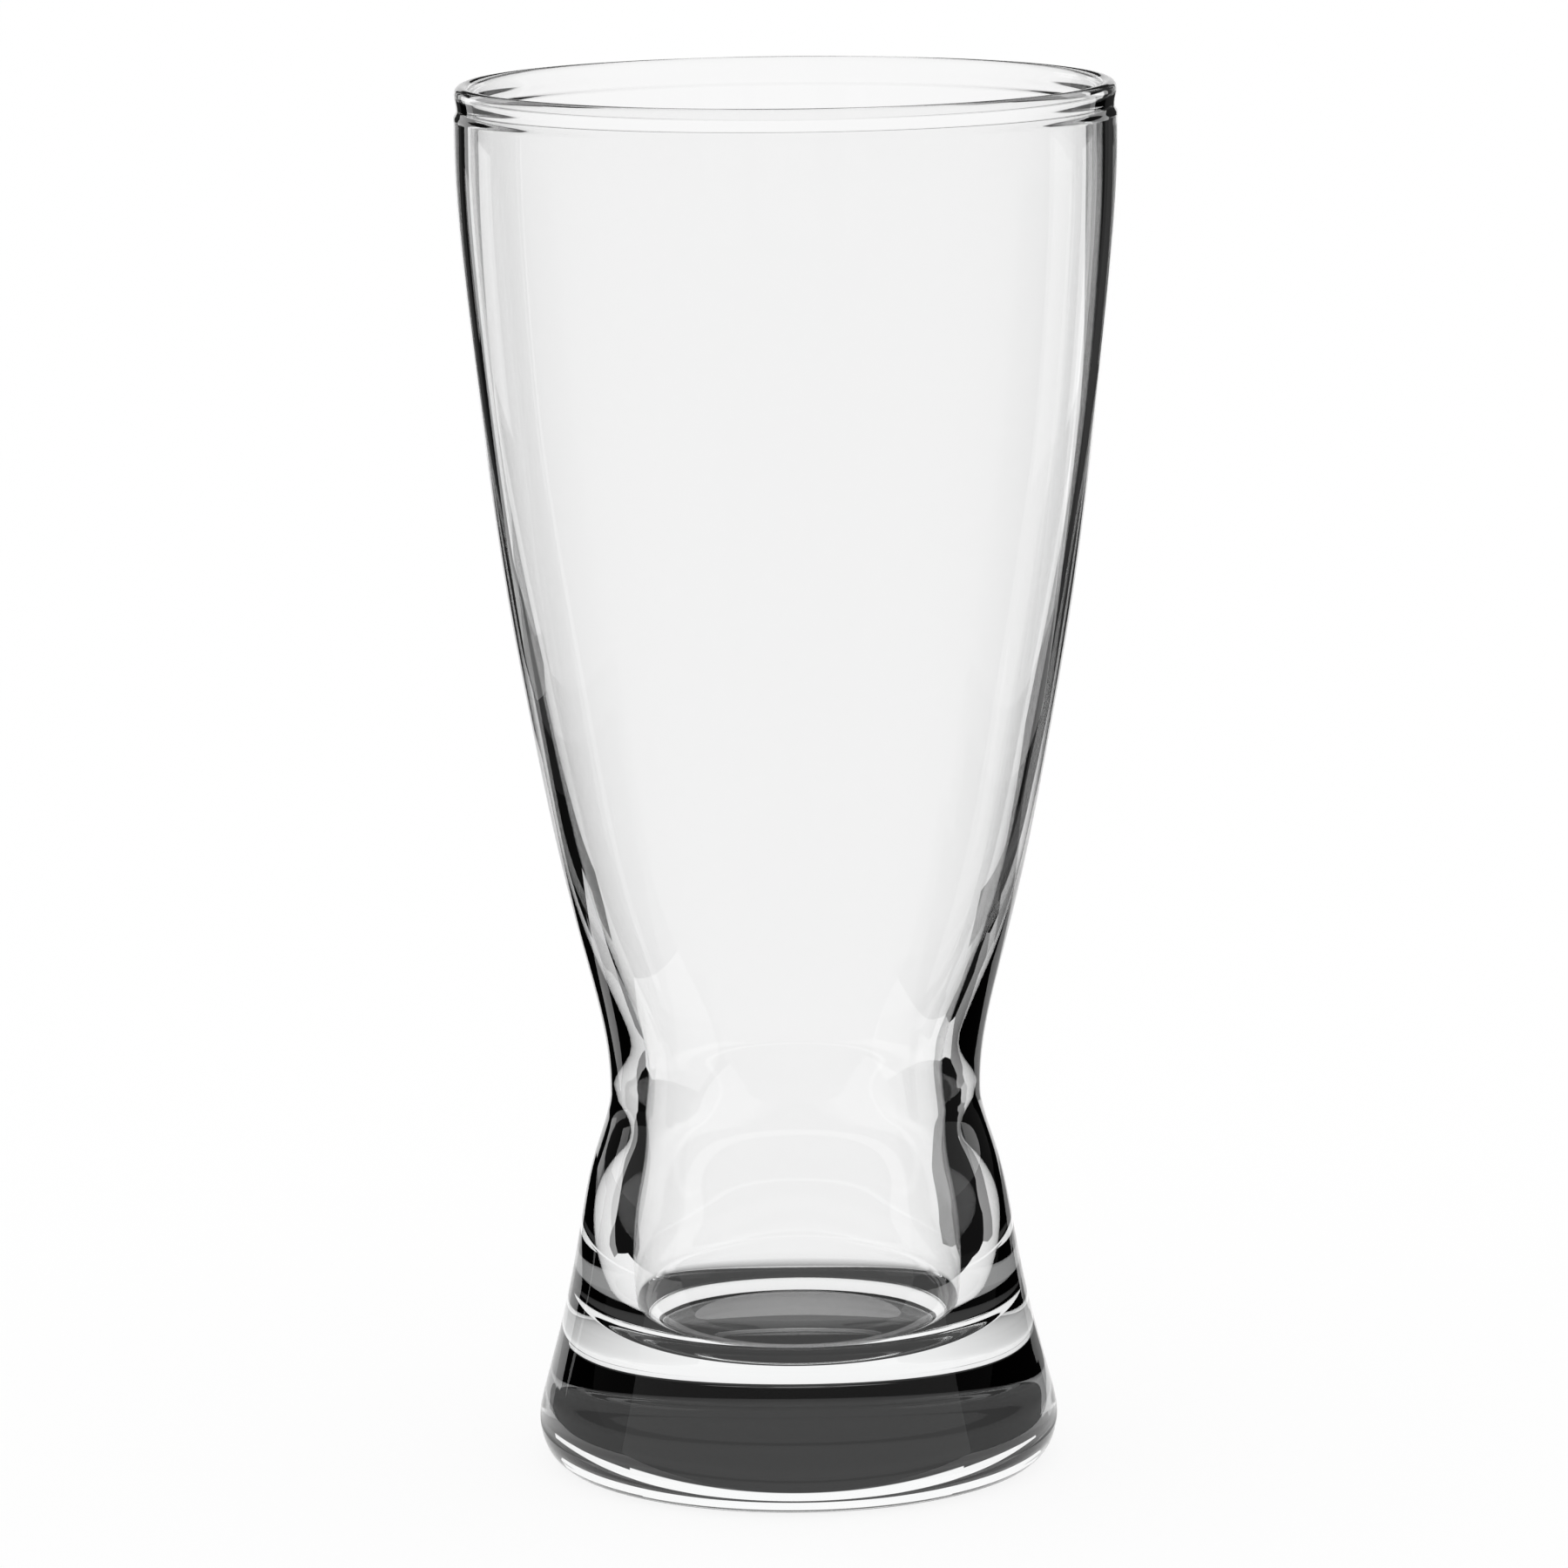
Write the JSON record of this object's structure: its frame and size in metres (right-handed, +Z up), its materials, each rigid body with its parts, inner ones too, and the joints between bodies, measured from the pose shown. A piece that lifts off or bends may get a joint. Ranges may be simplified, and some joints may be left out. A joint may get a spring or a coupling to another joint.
{
  "type": "pilsner glass",
  "caption": "Clear hourglass pilsner glass with a fire-polished rim, a narrow waist and a heavy solid foot.",
  "frame": {"origin": "centre of the ring that the glass stands on, in the plane of the table", "axes": "+Z up along the axis of the glass; it is round, so +X and +Y are alike"},
  "size_m": [0.0866, 0.0866, 0.1842],
  "materials": {
    "clear_glass": "clear fire-polished soda-lime glass"
  },
  "bodies": {
    "root": {"bowl": "clear_glass", "foot": "clear_glass"}
  },
  "joints": []
}
